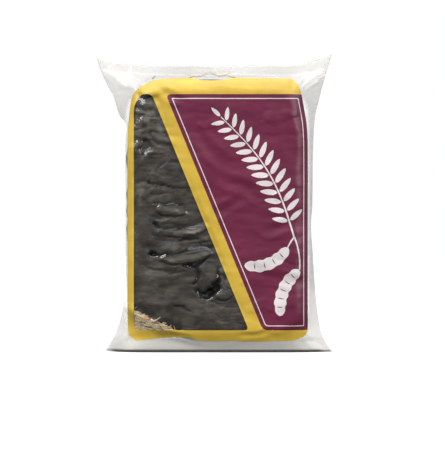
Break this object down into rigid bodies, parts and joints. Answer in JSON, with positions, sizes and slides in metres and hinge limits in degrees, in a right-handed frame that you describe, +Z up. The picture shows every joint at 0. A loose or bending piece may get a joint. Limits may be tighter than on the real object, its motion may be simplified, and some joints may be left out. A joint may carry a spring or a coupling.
{
  "type": "block of pressed tamarind pulp in a printed film bag",
  "caption": "Pressed tamarind pulp block sealed in a clear film bag with eared corners and a plain maroon and gold print round a window.",
  "frame": {"origin": "on the ground under the pack, at the middle of its bounding box's bottom", "axes": "+Z up, -Y out of the printed front, +X to the right as the front is seen"},
  "size_m": [0.1195, 0.0294, 0.1515],
  "materials": {
    "pulp": "sticky, dark brown-black pressed fruit pulp",
    "film": "clear, slightly milky crinkled packing film",
    "gold_ink": "printed ink under glossy film",
    "maroon_ink": "printed ink under glossy film"
  },
  "bodies": {
    "root": {"pulp_block": "pulp", "film_bag": "film", "gold_print": "gold_ink", "maroon_print": "maroon_ink"}
  },
  "joints": []
}
